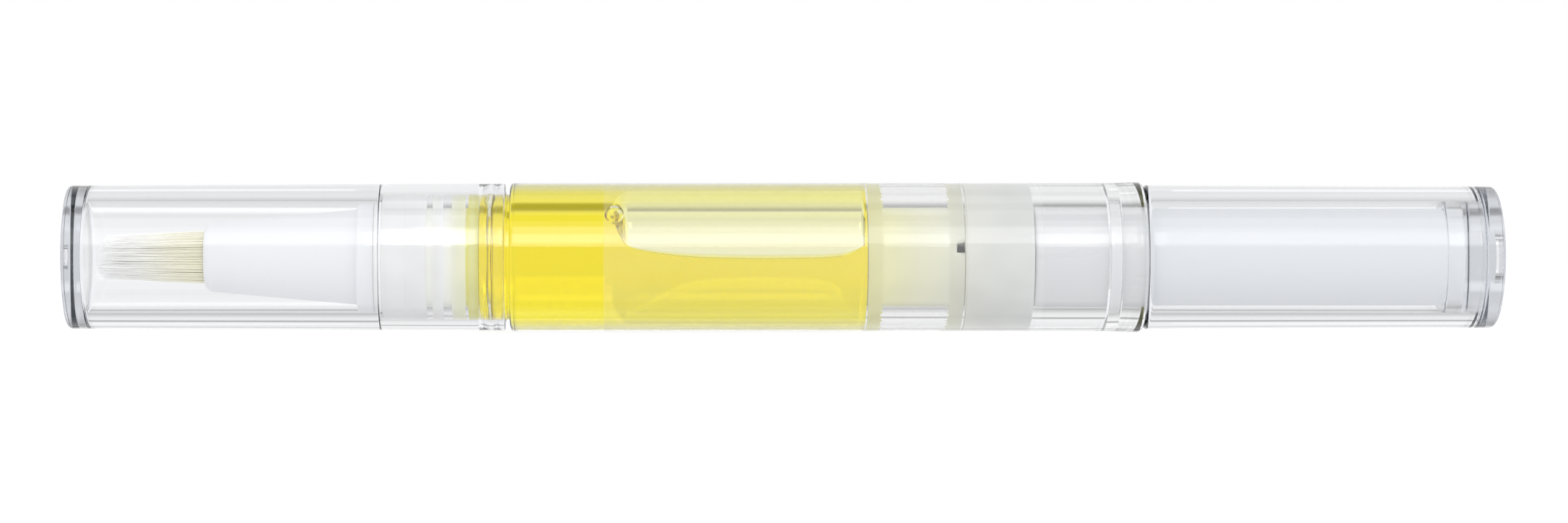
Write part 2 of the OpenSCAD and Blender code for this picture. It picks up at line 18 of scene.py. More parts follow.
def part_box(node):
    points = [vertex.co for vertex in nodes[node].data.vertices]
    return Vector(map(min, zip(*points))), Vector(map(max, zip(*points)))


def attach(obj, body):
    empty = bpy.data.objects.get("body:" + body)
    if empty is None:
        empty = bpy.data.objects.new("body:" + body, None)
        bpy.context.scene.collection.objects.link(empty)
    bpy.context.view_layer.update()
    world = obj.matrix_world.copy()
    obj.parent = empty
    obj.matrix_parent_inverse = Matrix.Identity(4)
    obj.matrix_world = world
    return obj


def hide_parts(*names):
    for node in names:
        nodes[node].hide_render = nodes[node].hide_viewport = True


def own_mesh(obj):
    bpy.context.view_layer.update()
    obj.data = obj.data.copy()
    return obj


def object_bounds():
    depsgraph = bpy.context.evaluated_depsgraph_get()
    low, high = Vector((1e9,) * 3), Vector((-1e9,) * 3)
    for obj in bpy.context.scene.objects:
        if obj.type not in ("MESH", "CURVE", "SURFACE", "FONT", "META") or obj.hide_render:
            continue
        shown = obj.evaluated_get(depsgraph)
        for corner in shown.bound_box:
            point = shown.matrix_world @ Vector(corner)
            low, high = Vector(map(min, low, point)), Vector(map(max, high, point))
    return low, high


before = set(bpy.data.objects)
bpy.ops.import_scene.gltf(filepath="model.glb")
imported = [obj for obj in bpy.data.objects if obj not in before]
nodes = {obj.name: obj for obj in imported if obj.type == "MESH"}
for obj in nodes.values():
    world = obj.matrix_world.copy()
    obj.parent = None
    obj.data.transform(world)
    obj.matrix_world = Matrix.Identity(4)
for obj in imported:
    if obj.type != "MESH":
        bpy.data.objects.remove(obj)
cad_low, cad_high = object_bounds()
scene = bpy.context.scene
print("nodes:", ", ".join(sorted(nodes)))

# %% [markdown]
# Every piece of the pen is round about one axis, which runs along X at the height of the
# barrel's middle. Lengths are easier to read in millimetres, counted from the closed end of the
# cap, so a helper turns such a pair of distances into a point of the frame.

# %% The pen's axis
MM = 0.001
barrel_low, barrel_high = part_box("barrel")
AXIS_Z = (barrel_low.z + barrel_high.z) / 2
PEN_START = cad_low.x
TURN_STEPS = 192


def along(u):
    """X of a place u millimetres from the closed end of the cap."""
    return PEN_START + u * MM


def at(u, radius, angle=0.0):
    """Point at a radius round the axis. Angle 0 points up."""
    reach = radius * MM
    return Vector((along(u), reach * math.sin(angle), AXIS_Z + reach * math.cos(angle)))


def off_axis(point):
    """Distance of a point from the axis, in millimetres."""
    return math.hypot(point.y, point.z - AXIS_Z) / MM


print("axis at", round(AXIS_Z / MM, 3), "mm")
print("length", round((cad_high.x - cad_low.x) / MM, 2), "mm")

# %% [markdown]
# A piece is done when its mesh is smooth, its material is on, and it moves with a body of the
# pen. Edges that turn by more than 30 degrees stay crisp, and all others are shaded smoothly.
# A clear shell would keep nearly all soft light from what is inside it, because the renderer
# finds the way through two curved walls only by chance. So a clear piece lets that light pass.

# %% Finish a piece
CRISP = math.radians(30)


def make_piece(bm, name, body, material, replaced=(), clear=False):
    mesh = bpy.data.meshes.new(name)
    bm.to_mesh(mesh)
    bm.free()
    mesh.shade_smooth()
    mesh.set_sharp_from_angle(angle=CRISP)
    mesh.materials.append(material)
    piece = bpy.data.objects.new(name, mesh)
    scene.collection.objects.link(piece)
    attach(piece, body)
    if replaced:
        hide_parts(*replaced)
    if clear:
        piece.visible_diffuse = False
        piece.visible_shadow = False
    print(f"{name}: {len(mesh.polygons)} faces")
    return piece


def dress(node, material):
    """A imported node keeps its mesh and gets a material."""
    mesh = nodes[node].data
    mesh.materials.clear()
    mesh.materials.append(material)


# %% [markdown]
# ## Materials
#
# Each finish is a Principled shader. What is the same all over a surface stands on the shader's
# own socket, and noise on Object coordinates adds what a moulded plastic shows: flow lines along
# the pen, a slight unevenness, and a little haze.

# %% Helpers for materials


def new_finish(name, **sockets):
    """A material with one Principled shader. Sockets are named with _ for each space."""
    finish = bpy.data.materials.new(name)
    finish.use_nodes = True
    shader = finish.node_tree.nodes["Principled BSDF"]
    for socket, value in sockets.items():
        shader.inputs[socket.replace("_", " ")].default_value = value
    return finish, finish.node_tree, shader


def object_noise(tree, stretch, scale, detail=2.0):
    """Noise on Object coordinates. Stretch divides its length along the pen."""
    coords = tree.nodes.new("ShaderNodeTexCoord")
    mapping = tree.nodes.new("ShaderNodeMapping")
    mapping.inputs["Scale"].default_value = (1 / stretch, 1, 1)
    noise = tree.nodes.new("ShaderNodeTexNoise")
    noise.inputs["Scale"].default_value = scale
    noise.inputs["Detail"].default_value = detail
    tree.links.new(coords.outputs["Object"], mapping.inputs["Vector"])
    tree.links.new(mapping.outputs["Vector"], noise.inputs["Vector"])
    return noise


def add_bump(tree, shader, noise, depth):
    bump = tree.nodes.new("ShaderNodeBump")
    bump.inputs["Distance"].default_value = depth
    tree.links.new(noise.outputs["Fac"], bump.inputs["Height"])
    tree.links.new(bump.outputs["Normal"], shader.inputs["Normal"])


def spread(tree, noise, low, high):
    """Noise drawn out to a range of values."""
    reach = tree.nodes.new("ShaderNodeMapRange")
    reach.inputs["From Min"].default_value = 0.35
    reach.inputs["From Max"].default_value = 0.65
    reach.inputs["To Min"].default_value = low
    reach.inputs["To Max"].default_value = high
    tree.links.new(noise.outputs["Fac"], reach.inputs["Value"])
    return reach.outputs["Result"]


# %% [markdown]
# ### Clear plastic
#
# The cap, the barrel and the knob's shell are moulded in clear styrene plastic. A bright plastic
# like this bends light by about 1.5. Its surface is nearly a mirror, with faint flow lines that
# run along the mould, so the noise is stretched lengthwise and gives only a very shallow bump.
# No plastic is quite clear. It takes a little light from each millimetre of the way through it,
# which shows where the way is long, along the edges. That is a volume's work and not a surface's.
# The cap and the knob have a trace of blue-grey, and the barrel is clearer.

# %% Clear plastic
PLASTIC_IOR = 1.49
FLOW_LINES = 0.0000004
PLASTIC_DEPTH = 100


def add_depth_tint(tree, color, density):
    """Colour that light takes on along its way through a piece."""
    tint = tree.nodes.new("ShaderNodeVolumeAbsorption")
    tint.inputs["Color"].default_value = color
    tint.inputs["Density"].default_value = density
    tree.links.new(tint.outputs["Volume"], tree.nodes["Material Output"].inputs["Volume"])


def clear_finish(name, tint):
    finish, tree, shader = new_finish(
        name, Base_Color=(1, 1, 1, 1), Transmission_Weight=1.0, Roughness=0.01, IOR=PLASTIC_IOR)
    add_bump(tree, shader, object_noise(tree, stretch=14, scale=420), FLOW_LINES)
    add_depth_tint(tree, tint, PLASTIC_DEPTH)
    return finish


cap_plastic = clear_finish("cap_plastic", (0.61, 0.635, 0.68, 1))
barrel_plastic = clear_finish("barrel_plastic", (0.8, 0.81, 0.82, 1))

# %% [markdown]
# ### White plastic
#
# The ferrule and the knob's liner are white polypropylene. Light goes a little way into it, so
# shadows on it are soft, and its skin is satin.

# %% White plastic
def white_finish(name, color):
    finish, tree, shader = new_finish(
        name, Base_Color=color, IOR=PLASTIC_IOR, Subsurface_Weight=0.2, Subsurface_Scale=0.0012,
        Subsurface_Radius=(1.0, 1.0, 1.1))
    skin = object_noise(tree, stretch=4, scale=700)
    tree.links.new(spread(tree, skin, 0.4, 0.5), shader.inputs["Roughness"])
    add_bump(tree, shader, skin, 0.0000015)
    return finish


white_plastic = white_finish("white_plastic", (0.86, 0.87, 0.885, 1))
# Painted shade: the liner is a darker, shaded copy of the ferrule's white.
liner_plastic = white_finish("liner_plastic", (0.77, 0.785, 0.805, 1))

# %% [markdown]
# ### Milky plastic
#
# The plug, the piston and the nut are natural polyethylene: uncoloured, but cloudy. Some of the
# light is scattered inside, so shadows on them are soft, and a slow noise makes the cloud uneven.
# The plug and the piston are painted yellow where they touch the oil, and the yellow fades away
# from the oil. This is painted light: it stands for light that reaches them tinted through the oil.
# A colour ramp along the pen gives that.

# %% Milky plastic


def milky_finish(name, stops):
    """Cloudy plastic whose colour changes along the pen. Each stop is (u, colour)."""
    finish, tree, shader = new_finish(
        name, Roughness=0.35, IOR=1.5, Subsurface_Weight=0.35, Subsurface_Scale=0.0012,
        Subsurface_Radius=(1.0, 1.0, 0.95))
    add_bump(tree, shader, object_noise(tree, stretch=3, scale=500), 0.000002)
    cloud = tree.nodes.new("ShaderNodeVectorMath")
    cloud.operation = "SCALE"
    tree.links.new(color_along(tree, stops), cloud.inputs[0])
    tree.links.new(
        spread(tree, object_noise(tree, stretch=1.5, scale=330, detail=1), 0.93, 1.0),
        cloud.inputs["Scale"])
    tree.links.new(cloud.outputs["Vector"], shader.inputs["Base Color"])
    return finish


def color_along(tree, stops):
    """Colour that runs through stops along the pen, on Object coordinates."""
    first, last = stops[0][0], stops[-1][0]
    coords = tree.nodes.new("ShaderNodeTexCoord")
    split = tree.nodes.new("ShaderNodeSeparateXYZ")
    reach = tree.nodes.new("ShaderNodeMapRange")
    reach.inputs["From Min"].default_value = along(first)
    reach.inputs["From Max"].default_value = along(last)
    ramp = tree.nodes.new("ShaderNodeValToRGB")
    marks = ramp.color_ramp.elements
    for u, color in stops[1:-1]:
        marks.new((u - first) / (last - first))
    for mark, (u, color) in zip(marks, stops):
        mark.color = (*color, 1)
    tree.links.new(coords.outputs["Object"], split.inputs["Vector"])
    tree.links.new(split.outputs["X"], reach.inputs["Value"])
    tree.links.new(reach.outputs["Result"], ramp.inputs["Fac"])
    return ramp.outputs["Color"]


# Painted light: the yellow stops of the plug and the piston stand for light tinted by the oil.
PLUG_WHITE = (0.96, 0.96, 0.95)
PLUG_CREAM = (0.93, 0.935, 0.85)
PLUG_OIL_LIGHT = (0.93, 0.93, 0.68)
LIP_OIL_LIGHT = (0.82, 0.78, 0.16)
LIP_PALE = (0.86, 0.84, 0.36)
plug_plastic = milky_finish("plug_plastic", [
    (26, PLUG_WHITE), (30.2, PLUG_WHITE), (30.5, PLUG_CREAM), (31.7, PLUG_WHITE),
    (32.0, PLUG_CREAM), (33.2, PLUG_OIL_LIGHT), (33.65, PLUG_OIL_LIGHT), (33.7, LIP_OIL_LIGHT),
    (34.2, LIP_PALE), (34.8, LIP_OIL_LIGHT)])
# Painted shade: the piston and the nut are painted darker than the plug, as shaded copies of the
# same plastic.
piston_plastic = milky_finish("piston_plastic", [
    (67, (0.8, 0.77, 0.36)), (69.3, (0.79, 0.77, 0.44)), (71.5, (0.77, 0.76, 0.54)),
    (76, (0.74, 0.74, 0.64))])
nut_plastic = milky_finish("nut_plastic", [
    (75, (0.79, 0.79, 0.7)), (78, (0.77, 0.775, 0.74)), (82, (0.77, 0.78, 0.76))])

# %% [markdown]
# ### Natural plastic
#
# The screw rod, the click ring and the drive sleeve are a hard, nearly white plastic.

# %% Natural plastic
natural_plastic, tree, shader = new_finish(
    "natural_plastic", Base_Color=(0.71, 0.72, 0.73, 1), Roughness=0.3, IOR=PLASTIC_IOR,
    Subsurface_Weight=0.5, Subsurface_Scale=0.002, Subsurface_Radius=(1.0, 1.0, 1.0))
skin = object_noise(tree, stretch=4, scale=600)
tree.links.new(spread(tree, skin, 0.25, 0.36), shader.inputs["Roughness"])
add_bump(tree, shader, skin, 0.000002)

# %% [markdown]
# ### Oil
#
# The oil colours light by how far it travels through it, so the colour is in the volume and the
# surface is clear. A thick layer is a deep yellow, and a thin one is pale.

# %% Oil
OIL_IOR = 1.47
OIL_TINT = (1.0, 0.968, 0.0, 1)
OIL_DEPTH = 700

oil, tree, shader = new_finish(
    "oil", Base_Color=(1, 1, 1, 1), Transmission_Weight=1.0, Roughness=0.0, IOR=OIL_IOR,
    Specular_Tint=(0, 0, 0, 1))
add_depth_tint(tree, OIL_TINT, OIL_DEPTH)

# %% [markdown]
# ### Bristles
#
# The strands are nylon, white at their tips. Near the ferrule, where they stand close together,
# their colour turns ivory and a little darker: painted shade between the strands.

# %% Bristles
nylon, tree, shader = new_finish("bristle_nylon", Roughness=0.45, IOR=1.53)
# Painted shade: ivory and a little darker towards the ferrule, where the strands stand close.
tree.links.new(
    color_along(tree, [(2.4, (1.0, 1.0, 1.0)), (6, (1.0, 0.995, 0.97)), (9, (0.99, 0.975, 0.86)),
                       (11.8, (0.97, 0.95, 0.78))]),
    shader.inputs["Base Color"])
sheen = object_noise(tree, stretch=30, scale=900)
tree.links.new(spread(tree, sheen, 0.35, 0.55), shader.inputs["Roughness"])

# %% [markdown]
# ## Clear pieces
#
# The cap, the barrel, the knob's shell and its end plug are bodies of revolution. Their outline
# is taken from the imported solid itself: the solid is cut with a plane through the axis, the half
# over the axis is kept, and that line is spun into a finer solid of the same size.

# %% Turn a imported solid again


def copy_of(node):
    """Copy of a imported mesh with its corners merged."""
    bm = bmesh.new()
    bm.from_mesh(nodes[node].data)
    bmesh.ops.remove_doubles(bm, verts=bm.verts, dist=0.000002)
    return bm


def outline_of(node):
    """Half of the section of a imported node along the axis, as a bmesh of edges."""
    bm = copy_of(node)
    for normal in (Vector((0, 1, 0)), Vector((0, -1, 0))):
        bmesh.ops.bisect_plane(
            bm, geom=bm.verts[:] + bm.edges[:] + bm.faces[:], dist=0.0000005,
            plane_co=(0, 0, AXIS_Z), plane_no=normal, clear_outer=True)
    bmesh.ops.delete(bm, geom=bm.faces[:], context="FACES_ONLY")
    bmesh.ops.bisect_plane(
        bm, geom=bm.verts[:] + bm.edges[:], dist=0.0000005,
        plane_co=(0, 0, AXIS_Z), plane_no=(0, 0, -1), clear_outer=True)
    on_axis = [e for e in bm.edges if all(off_axis(v.co) < 0.001 for v in e.verts)]
    bmesh.ops.delete(bm, geom=on_axis, context="EDGES")
    bmesh.ops.remove_doubles(bm, verts=bm.verts, dist=0.000003)
    return bm


HOLD = 0.04


def hold_corners(bm):
    """Splits each long edge near its ends, which keeps the shading of long faces straight."""
    for edge in [e for e in bm.edges if e.calc_length() > 4 * HOLD * MM]:
        first, last = edge.verts
        share = HOLD * MM / edge.calc_length()
        _, corner = bmesh.utils.edge_split(edge, first, share)
        rest = next(e for e in corner.link_edges if last in e.verts)
        bmesh.utils.edge_split(rest, last, share / (1 - share))


def spin_round(bm, steps=TURN_STEPS):
    """Spins an outline round the axis into a closed solid whose faces point outwards."""
    hold_corners(bm)
    bmesh.ops.spin(
        bm, geom=bm.verts[:] + bm.edges[:], cent=(0, 0, AXIS_Z), axis=(1, 0, 0),
        angle=math.tau, steps=steps, use_merge=True)
    bmesh.ops.remove_doubles(bm, verts=bm.verts, dist=0.000002)
    bmesh.ops.recalc_face_normals(bm, faces=bm.faces)
    return bm


clear_pieces = {
    "cap_shell": ("cap", "cap_body", cap_plastic),
    "barrel_tube": ("barrel", "pen_body", barrel_plastic),
    "knob_tube": ("knob_shell", "knob_body", cap_plastic),
    "knob_plug": ("knob_end_plug", "knob_body", cap_plastic),
}


BEAD_PLACE = (34.9, 36.6)
BEAD_RADII = (5.2, 5.6)
CUTS = 5
ROUNDS = 10


def soften_bead(outline):
    """Rounds the corners of the snap bead, or of the groove over it, in an outline."""
    def inside(v):
        u = (v.co.x - PEN_START) / MM
        return BEAD_PLACE[0] < u < BEAD_PLACE[1] and BEAD_RADII[0] < off_axis(v.co) < BEAD_RADII[1]

    edges = [e for e in outline.edges if all(inside(v) for v in e.verts)]
    bmesh.ops.subdivide_edges(outline, edges=edges, cuts=CUTS)
    soft = [v for v in outline.verts if inside(v)]
    for _ in range(ROUNDS):
        bmesh.ops.smooth_vert(
            outline, verts=soft, factor=0.5, use_axis_x=True, use_axis_y=True, use_axis_z=True)
    print("softened points:", len(soft))


for name, (node, body, plastic) in clear_pieces.items():
    outline = outline_of(node)
    if node in ("cap", "barrel"):
        soften_bead(outline)
    print(node, "outline:", len(outline.verts), "points")
    make_piece(spin_round(outline), name, body, plastic, [node], clear=True)

# %% [markdown]
# ## White and natural pieces
#
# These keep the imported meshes, which are fine enough where no light bends through them.

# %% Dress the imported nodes
dress("brush_ferrule", white_plastic)
dress("knob_liner", liner_plastic)
for node in ("feed_tube", "screw_rod", "click_ring", "drive_sleeve"):
    dress(node, natural_plastic)

# %% [markdown]
# ## Milky pieces
#
# The plug, the piston and the nut are soft and press against the barrel's bore. Where they touch
# it there is no air, so they look as wide as the barrel itself. A gap of air, however thin, would
# mirror the bore instead. So these three are swollen by a hair until they reach into the barrel's
# wall. The wall hides that. The plug is round all the way, so it is turned again like the clear
# pieces. The piston has its window and the nut its ratchet teeth, so they are copies.

# %% Helpers for the milky pieces
REACH = 0.02
PRESS = 0.01
PRESS_SLOPE = 0.03


def swell(bm, touching, bore):
    """Makes a piece thicker until its outer rings reach a hair into a bore."""
    grow = (bore + REACH) / touching
    bmesh.ops.scale(
        bm, verts=bm.verts, vec=(1, grow, grow), space=Matrix.Translation((0, 0, -AXIS_Z)))
    return bm


def press_rings(bm, bore, front, deepest):
    """Presses shallow grooves, down to a radius, against the bore as well."""
    for v in bm.verts:
        r = off_axis(v.co)
        if v.co.x > along(front) and r > deepest:
            push = (bore + PRESS + PRESS_SLOPE * (r - bore)) / r
            v.co.y *= push
            v.co.z = AXIS_Z + (v.co.z - AXIS_Z) * push
    return bm


def reach_forward(bm, before, step):
    """Moves the front of a piece forward by a step, up to the piece before it."""
    for v in bm.verts:
        if v.co.x < along(before):
            v.co.x -= step * MM
    return bm


# %% Plug and piston
BORE = 4.2
PLUG_R = 4.18
PLUG_GROOVES = 3.7
NECK_FRONT = 26.57
PISTON_R = 4.15
PISTON_LIPS = 3.4
PISTON_FRONT = 67.5

plug = swell(spin_round(outline_of("neck_plug")), PLUG_R, BORE)
press_rings(plug, BORE, NECK_FRONT, PLUG_GROOVES)
make_piece(plug, "plug_body", "pen_body", plug_plastic, ["neck_plug"])

cup = swell(copy_of("piston"), PISTON_R, BORE)
press_rings(cup, BORE, PISTON_FRONT, PISTON_LIPS)
make_piece(cup, "piston_cup", "piston_body", piston_plastic, ["piston"])

# %% Nut
SEAT_BORE = 4.28
NUT_R = 4.26
NUT_FRONT = 75.8
NUT_STEP = 0.2

nut = swell(copy_of("screw_nut"), NUT_R, SEAT_BORE)
reach_forward(nut, NUT_FRONT, NUT_STEP)
make_piece(nut, "nut_body", "pen_body", nut_plastic, ["screw_nut"])

# %% [markdown]
# ## Oil and air
#
# The oil fills the bore from the plug to the piston, and a long bubble of air floats in it
# against the top of the bore. The bubble follows the wall down to about the axis. Under that the
# oil climbs the wall, so the bubble closes in a flat round. Its nose is blunt.
#
# The oil wets the bore. Where two clear materials touch, nothing shows between them, so the
# oil's skin lies a hair's breadth inside the plastic instead of a hair's breadth short of it.

# %% Helpers for the oil


def bar(stations, radius, steps=TURN_STEPS):
    """Closed round bar along the axis with a ring at each station."""
    bm = bmesh.new()
    first, last = stations[0], stations[-1]
    place = Matrix.Translation(at((first + last) / 2, 0)) @ Matrix.Rotation(math.pi / 2, 4, "Y")
    bmesh.ops.create_cone(
        bm, cap_ends=True, segments=steps, radius1=radius * MM, radius2=radius * MM,
        depth=(last - first) * MM, matrix=place)
    for u in stations[1:-1]:
        bmesh.ops.bisect_plane(
            bm, geom=bm.verts[:] + bm.edges[:] + bm.faces[:], plane_co=at(u, 0),
            plane_no=(1, 0, 0))
    return bm


def curve_value(points, u):
    """Value at u of a line drawn through points."""
    for (u0, v0), (u1, v1) in zip(points, points[1:]):
        if u <= u1:
            t = max(0.0, (u - u0) / (u1 - u0))
            return v0 + (v1 - v0) * t
    return points[-1][1]


# %% The long bubble
AIR_NOSE = 45.9
AIR_REAR = 67.2
AIR_R = 3.86
NOSE_LEN = 1.5
REAR_LEN = 0.25
NOSE_Z = 2.9
REAR_Z = 2.2
SOFTNESS = 0.45
AIR_TOP = 3.72
DOME = 0.1
AIR_MIDDLE = 55
AIR_STRIDE = 1.2
CLOSE_STEPS = [
    0, 0.02, 0.06, 0.12, 0.2, 0.3, 0.42, 0.56, 0.72, 0.9, 1.1, 1.4, 1.8, 2.3, 3, 4, 5.5, 7.5]
LEVEL = [(45.9, 1.9), (46.4, 1.25), (47.0, 0.85), (47.9, 0.52), (49.4, 0.25),
         (51.5, 0.0), (54.1, -0.17), (59.0, -0.22), (64.3, -0.15), (65.6, 0.1), (66.4, 0.45),
         (67.2, 0.95)]


def shape_air():
    """The bubble: the bore's round above, a flat level with soft rims below, and rounded ends."""
    stations = [AIR_NOSE + step for step in CLOSE_STEPS]
    stations += [AIR_MIDDLE + AIR_STRIDE * k for k in range(8)]
    stations += [AIR_REAR - step for step in reversed(CLOSE_STEPS[:14])]
    air = bar(stations, AIR_R, steps=96)
    bmesh.ops.poke(air, faces=[f for f in air.faces if len(f.verts) > 4])
    for v in air.verts:
        u = (v.co.x - PEN_START) / MM
        z = (v.co.z - AXIS_Z) / MM
        level = curve_value(LEVEL, u)
        z = level + SOFTNESS * math.log1p(math.exp((z - level) / SOFTNESS))
        z = AIR_TOP - DOME * math.log1p(math.exp((AIR_TOP - z) / DOME))
        nose = max(0.0, 1 - (u - AIR_NOSE) / NOSE_LEN)
        rear = max(0.0, 1 - (AIR_REAR - u) / REAR_LEN)
        middle = NOSE_Z if nose > 0 else REAR_Z
        size = math.sqrt(max(0.0, 1 - max(nose, rear) ** 2))
        v.co.y *= size
        v.co.z = AXIS_Z + (middle + (z - middle) * size) * MM
    bmesh.ops.remove_doubles(air, verts=air.verts, dist=0.000003)
    bmesh.ops.recalc_face_normals(air, faces=air.faces)
    bmesh.ops.reverse_faces(air, faces=air.faces)
    return air


# %% [markdown]
# Two smaller pockets of air are left beside the long bubble. One is a little ball at its nose,
# made from a sphere. The other is a thread that stays behind the plug all round the bore, made
# from a circle that is spun and then swollen at the top, where air gathers.

# %% Small bubble and thread of air
SMALL_SIZE = (0.85, 0.5, 0.72)
SMALL_PLACE = at(46.1, 3.55, math.radians(-35.5))


def shape_small_bubble():
    """A small round bubble that clings to the front of the bore, before the large one's nose."""
    small = bmesh.new()
    bmesh.ops.create_uvsphere(small, u_segments=48, v_segments=24, radius=MM)
    bmesh.ops.scale(small, verts=small.verts, vec=SMALL_SIZE)
    bmesh.ops.translate(small, verts=small.verts, vec=SMALL_PLACE)
    bmesh.ops.reverse_faces(small, faces=small.faces)
    return small


RING_AT = 35.62
RING_HALF = 0.2
RING_HEAD = 2.2
RING_HEAD_TURN = 0.42
RING_WAVE = 0.2
RING_GAP = 0.03


def shape_air_ring():
    """A thread of air that stays behind the plug all round the bore, thickest at the top."""
    ring = bmesh.new()
    turned = Matrix.Rotation(math.pi / 2, 4, "X")
    bmesh.ops.create_circle(
        ring, segments=16, radius=RING_HALF * MM,
        matrix=Matrix.Translation(at(RING_AT, BORE - RING_HALF)) @ turned)
    bmesh.ops.spin(
        ring, geom=ring.verts[:] + ring.edges[:], cent=(0, 0, AXIS_Z), axis=(1, 0, 0),
        angle=math.tau, steps=96, use_merge=True)
    for v in ring.verts:
        turn = math.atan2(v.co.y, v.co.z - AXIS_Z)
        head = RING_HEAD * math.exp(-(turn / RING_HEAD_TURN) ** 2)
        size = 1 + head + RING_WAVE * math.sin(5 * turn)
        v.co.x = along(RING_AT) + (v.co.x - along(RING_AT)) * size
        shrink = (BORE - RING_GAP - (BORE - off_axis(v.co)) * size) / off_axis(v.co)
        v.co.y *= shrink
        v.co.z = AXIS_Z + (v.co.z - AXIS_Z) * shrink
    bmesh.ops.recalc_face_normals(ring, faces=ring.faces)
    bmesh.ops.reverse_faces(ring, faces=ring.faces)
    return ring


# %% [markdown]
# The oil is a plain bar that fills the bore. The pockets of air are added to its mesh with their
# faces turned inwards, so that one closed surface bounds the liquid. The piston presses the oil
# out, so its mesh is squashed towards the plug as the piston moves.

# %% Oil
OIL_FRONT = 34.72
OIL_REAR = 67.24
WETTING = 0.015

oil_mesh = bar([OIL_FRONT, OIL_REAR], BORE + WETTING)
for bubble in (shape_air(), shape_small_bubble(), shape_air_ring()):
    air_mesh = bpy.data.meshes.new("air")
    bubble.to_mesh(air_mesh)
    bubble.free()
    oil_mesh.from_mesh(air_mesh)
    bpy.data.meshes.remove(air_mesh)
oil_piece = make_piece(oil_mesh, "oil_column", "pen_body", oil, ["nail_oil"])
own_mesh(oil_piece)

# %% [markdown]
# ## Film on the barrel
#
# A clear film is wrapped round the barrel. It is bare here. Film is never as clear as the plastic
# under it, so it lays a faint white haze over everything behind it, with a straight edge at
# either end.

# %% Film
FILM_START = 45.2
FILM_END = 81.85
FILM_R = 6.256
FILM_WALL = 0.03

hazy_film, tree, shader = new_finish(
    "hazy_film", Base_Color=(0.98, 0.985, 0.97, 1), Roughness=0.3, IOR=1.49, Alpha=0.045)
haze = object_noise(tree, stretch=6, scale=260)
tree.links.new(spread(tree, haze, 0.039, 0.051), shader.inputs["Alpha"])


def make_film():
    film = bmesh.new()
    corners = [(FILM_START, FILM_R), (FILM_END, FILM_R),
               (FILM_END, FILM_R + FILM_WALL), (FILM_START, FILM_R + FILM_WALL)]
    loop = [film.verts.new(at(u, r)) for u, r in corners]
    for a, b in zip(loop, loop[1:] + loop[:1]):
        film.edges.new((a, b))
    return spin_round(film)


make_piece(make_film(), "barrel_film", "pen_body", hazy_film, clear=True)

# %% [markdown]
# ## Brush
#
# The real brush is a bundle of several hundred nylon strands, gathered in the ferrule and cut to
# a rounded tip that slants a little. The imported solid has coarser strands. Here the inner strands,
# of which nothing is seen but a white glow between the outer ones, are one slim body. Over it one
# fine strand, made from a cone, is laid again and again round a sunflower spiral, each copy with
# a slight bend of its own.

# %% Brush
BRUSH_TIP = 2.45
FERRULE_FRONT = 11.55
BRUSH_ROOT = 14.2
BRUSH_R = 2.19
FEED_R = 0.72
STRANDS = 1300
STRAND_R = 0.042
STRAND_BEND = 0.16
STRAND_SWAY = 0.025
TIP_GATHER = 0.2
GOLDEN_ANGLE = math.pi * (3 - math.sqrt(5))
random.seed(7)


def strand_end(radius, angle):
    """Free length of a strand: the tip is rounded, and slants back towards the top."""
    rise = math.cos(angle) * radius / BRUSH_R
    return (FERRULE_FRONT - BRUSH_TIP - 0.6 * (radius / BRUSH_R) ** 4 - 0.12 * (rise + 0.45) ** 2
            - 0.12 * (rise + 0.45))


def make_brush():
    strand = bmesh.new()
    bmesh.ops.create_cone(strand, cap_ends=True, segments=4, radius1=1, radius2=0.35, depth=1)
    sides = [e for e in strand.edges if abs(e.verts[0].co.z - e.verts[1].co.z) > 0.5]
    bmesh.ops.subdivide_edges(strand, edges=sides, cuts=7)
    brush = bmesh.new()
    laid = bpy.data.meshes.new("strand")
    root_len = BRUSH_ROOT - FERRULE_FRONT
    for i in range(STRANDS):
        share = (i + 0.5) / STRANDS
        radius = math.sqrt(FEED_R ** 2 + (BRUSH_R ** 2 - FEED_R ** 2) * share)
        angle = i * GOLDEN_ANGLE + random.uniform(-0.05, 0.05)
        free = strand_end(radius, angle) - random.uniform(0, 0.9) ** 2.5
        bend = [random.uniform(-STRAND_BEND, STRAND_BEND) for _ in range(2)]
        wave = random.uniform(0, math.tau)
        copy = strand.copy()
        for v in copy.verts:
            run = (v.co.z + 0.5) * (free + root_len)
            out = max(0.0, (run - root_len) / free)
            close = radius * (1 - TIP_GATHER * out ** 1.3)
            sway = STRAND_SWAY * math.sin(wave + 5 * out) * out
            y = close * math.sin(angle) + bend[0] * out ** 2 + sway + v.co.x * STRAND_R
            z = close * math.cos(angle) + bend[1] * out ** 2 + sway + v.co.y * STRAND_R
            v.co = Vector((along(BRUSH_ROOT - run), y * MM, AXIS_Z + z * MM))
        bmesh.ops.recalc_face_normals(copy, faces=copy.faces)
        copy.to_mesh(laid)
        copy.free()
        brush.from_mesh(laid)
    strand.free()
    bpy.data.meshes.remove(laid)
    return brush


# %% Core of the brush
CORE = [(4.6, 0.35), (5.0, 0.9), (5.8, 1.35), (7.5, 1.62), (11.4, 1.86)]


def make_core():
    """The inner strands as one body, from a cylinder cut at a few places and tapered."""
    core = bar([u for u, r in CORE] + [BRUSH_ROOT - 2.0], 1, steps=48)
    for v in core.verts:
        radius = curve_value(CORE, (v.co.x - PEN_START) / MM)
        v.co.y *= radius
        v.co.z = AXIS_Z + (v.co.z - AXIS_Z) * radius
    return core


make_piece(make_brush(), "brush_strands", "pen_body", nylon, ["bristles"])
make_piece(make_core(), "brush_core", "pen_body", nylon)

# %% [markdown]
# ## Stage
#
# The floor is pale and takes the pen's shadow. A photograph of this kind is taken on a lit white
# table, so the floor glows faintly to the camera and looks as white as the world around it. It
# holds back no light, because a lit table gives light from below too: the clear pieces and the
# undersides of the white ones see the world through it.

